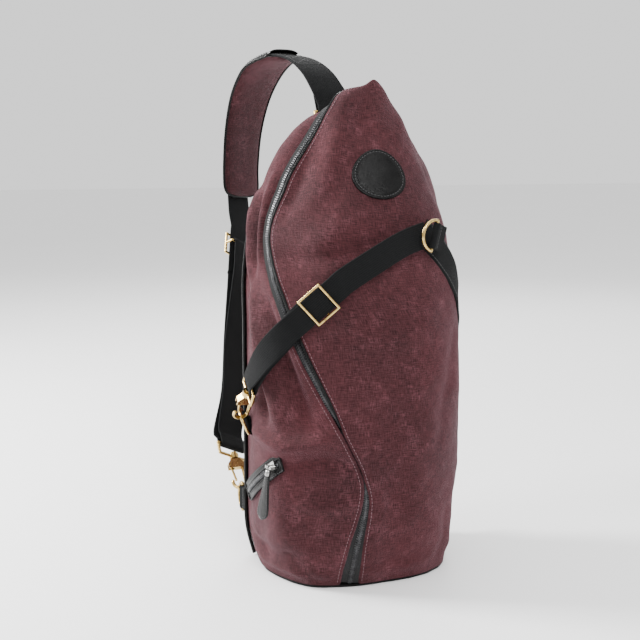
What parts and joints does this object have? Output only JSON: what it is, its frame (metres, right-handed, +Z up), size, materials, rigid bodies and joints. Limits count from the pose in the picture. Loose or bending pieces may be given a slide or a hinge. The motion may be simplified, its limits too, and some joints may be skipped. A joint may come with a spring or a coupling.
{
  "type": "sling bag",
  "caption": "Teardrop canvas sling bag with a curved main zip, a hooked front strap and a padded shoulder strap held by a snap hook at the base.",
  "frame": {"origin": "centre of the flat base, on the surface that the bag stands on", "axes": "+Z up, the front with the patch faces -Y, +X is the right of that front, the back panel and shoulder strap are on +Y"},
  "size_m": [0.2536, 0.3674, 0.5344],
  "materials": {
    "canvas": "matte",
    "leather": "satin",
    "webbing": "matte",
    "zip_tape": "matte",
    "zip_teeth": "satin",
    "zip_slider": "satin",
    "hardware": "satin",
    "lining": "matte",
    "foam": "matte",
    "board": "matte"
  },
  "bodies": {
    "bag": {"back_panel": "canvas", "back_piping": "leather", "back_foam": "foam", "back_lining": "lining", "left_gusset": "canvas", "front_flap": "canvas", "flap_binding": "leather", "base_panel": "leather", "base_board": "board", "left_padding": "foam", "front_padding": "foam", "lining": "lining", "leather_patch": "leather", "main_zip_tape": "zip_tape", "main_zip_teeth": "zip_teeth", "back_zip_tape": "zip_tape", "back_zip_teeth": "zip_teeth", "back_pocket_bag": "lining", "side_zip_tape": "leather", "side_zip_teeth": "zip_teeth", "side_pocket_bag": "lining", "front_strap": "webbing", "front_return": "webbing", "front_hook_eye": "hardware", "side_strip": "webbing", "front_d_tab": "webbing", "left_upper_tab": "webbing", "left_lower_tab": "webbing", "right_upper_tab": "webbing", "right_lower_tab": "webbing", "strap_anchor": "webbing"},
    "main_zip_slider": {"main_zip_slider": "zip_slider"},
    "main_zip_pull": {"main_zip_pull": "leather"},
    "back_zip_slider": {"back_zip_slider": "zip_slider"},
    "back_zip_pull": {"back_zip_pull": "leather"},
    "side_zip_slider": {"side_zip_slider": "zip_slider"},
    "side_zip_pull": {"side_zip_pull": "leather"},
    "front_hook": {"front_hook": "hardware"},
    "front_gate": {"front_hook_gate": "hardware"},
    "front_buckle": {"front_buckle": "hardware"},
    "shoulder_strap": {"top_ring": "hardware", "upper_webbing": "webbing", "pad_cover": "leather", "pad_foam": "foam", "pad_lining": "canvas", "lower_webbing": "webbing", "webbing_trim": "canvas", "return_webbing": "webbing", "strap_hook_eye": "hardware"},
    "strap_slide": {"strap_slide": "hardware"},
    "strap_hook": {"strap_hook": "hardware"},
    "strap_gate": {"strap_hook_gate": "hardware"},
    "left_upper_ring": {"left_upper_ring": "hardware"},
    "left_lower_ring": {"left_lower_ring": "hardware"},
    "right_upper_ring": {"right_upper_ring": "hardware"},
    "right_lower_ring": {"right_lower_ring": "hardware"},
    "front_d_ring": {"front_d_ring": "hardware"}
  },
  "joints": [
    {"name": "main_zip_travel", "type": "slide", "parent": "bag", "child": "main_zip_slider", "axis": [-0.8376, -0.2443, 0.4886], "range_m": [0, 0.028]},
    {"name": "main_pull_flap", "type": "hinge", "parent": "main_zip_slider", "child": "main_zip_pull", "pos_m": [0.0514, 0.0552, 0.4478], "axis": [0.6297, -0.4027, 0.6643], "range_deg": [-8, 100]},
    {"name": "back_zip_travel", "type": "slide", "parent": "bag", "child": "back_zip_slider", "axis": [-0.998, 0, -0.0633], "range_m": [0, 0.124]},
    {"name": "back_pull_flap", "type": "hinge", "parent": "back_zip_slider", "child": "back_zip_pull", "pos_m": [0.06188, 0.06325, 0.35142], "axis": [0.998, 0, 0.0633], "range_deg": [0, 100]},
    {"name": "side_zip_travel", "type": "hinge", "parent": "bag", "child": "side_zip_slider", "pos_m": [0.04088, 0.02772, 0.10044], "axis": [0.1013, -0.5868, -0.8034], "range_deg": [0, 22]},
    {"name": "side_pull_flap", "type": "hinge", "parent": "side_zip_slider", "child": "side_zip_pull", "pos_m": [-0.10366, -0.02716, 0.1223], "axis": [-0.3496, 0.9361, 0.0386], "range_deg": [0, 100]},
    {"name": "left_upper_swing", "type": "hinge", "parent": "bag", "child": "left_upper_ring", "pos_m": [-0.1085, 0.036, 0.152], "axis": [0, -0.7986, -0.6019], "range_deg": [-4, 4]},
    {"name": "left_lower_swing", "type": "hinge", "parent": "bag", "child": "left_lower_ring", "pos_m": [-0.103, 0.07, 0.062], "axis": [0, 0, 1], "range_deg": [-6, 6]},
    {"name": "right_upper_swing", "type": "hinge", "parent": "bag", "child": "right_upper_ring", "pos_m": [0.113, 0.06, 0.153], "axis": [0, 0, 1], "range_deg": [-70, 70]},
    {"name": "right_lower_swing", "type": "hinge", "parent": "bag", "child": "right_lower_ring", "pos_m": [0.113, 0.06, 0.063], "axis": [0, 0, 1], "range_deg": [-70, 70]},
    {"name": "front_d_swing", "type": "hinge", "parent": "bag", "child": "front_d_ring", "pos_m": [0.05, -0.066, 0.344], "axis": [-0.2784, -0.0928, -0.956], "range_deg": [-60, 6]},
    {"name": "front_hook_swivel", "type": "hinge", "parent": "bag", "child": "front_hook", "pos_m": [-0.11581, 0.0284, 0.16209], "axis": [0.0599, -0.5989, 0.7986], "range_deg": [-12, 12]},
    {"name": "front_gate_open", "type": "hinge", "parent": "front_hook", "child": "front_gate", "pos_m": [-0.12011, 0.01526, 0.17961], "axis": [0, -0.8, -0.6], "range_deg": [0, 18], "stiffness_Nm_per_rad": 0.004, "springref_deg": -22.92},
    {"name": "front_buckle_slide", "type": "slide", "parent": "bag", "child": "front_buckle", "axis": [0.6921, -0.2795, 0.6655], "range_m": [-0.005, 0.005], "deforming": ["front_return"]},
    {"name": "strap_swing", "type": "hinge", "parent": "bag", "child": "shoulder_strap", "pos_m": [0.006, 0.08, 0.454], "axis": [-0.2746, 0.0008, -0.9616], "range_deg": [-12, 12], "deforming": ["strap_anchor"]},
    {"name": "strap_hook_swivel", "type": "hinge", "parent": "shoulder_strap", "child": "strap_hook", "pos_m": [-0.103, 0.08032, 0.07232], "axis": [0, 0.7071, 0.7071], "range_deg": [-12, 12]},
    {"name": "strap_gate_open", "type": "hinge", "parent": "strap_hook", "child": "strap_gate", "pos_m": [-0.1086, 0.0956, 0.0876], "axis": [0, -0.7071, 0.7071], "range_deg": [0, 18], "stiffness_Nm_per_rad": 0.004, "springref_deg": -22.92},
    {"name": "strap_slide_adjust", "type": "slide", "parent": "shoulder_strap", "child": "strap_slide", "axis": [0.206, 0.5279, 0.824], "range_m": [-0.01, 0.01], "deforming": ["return_webbing"]}
  ]
}
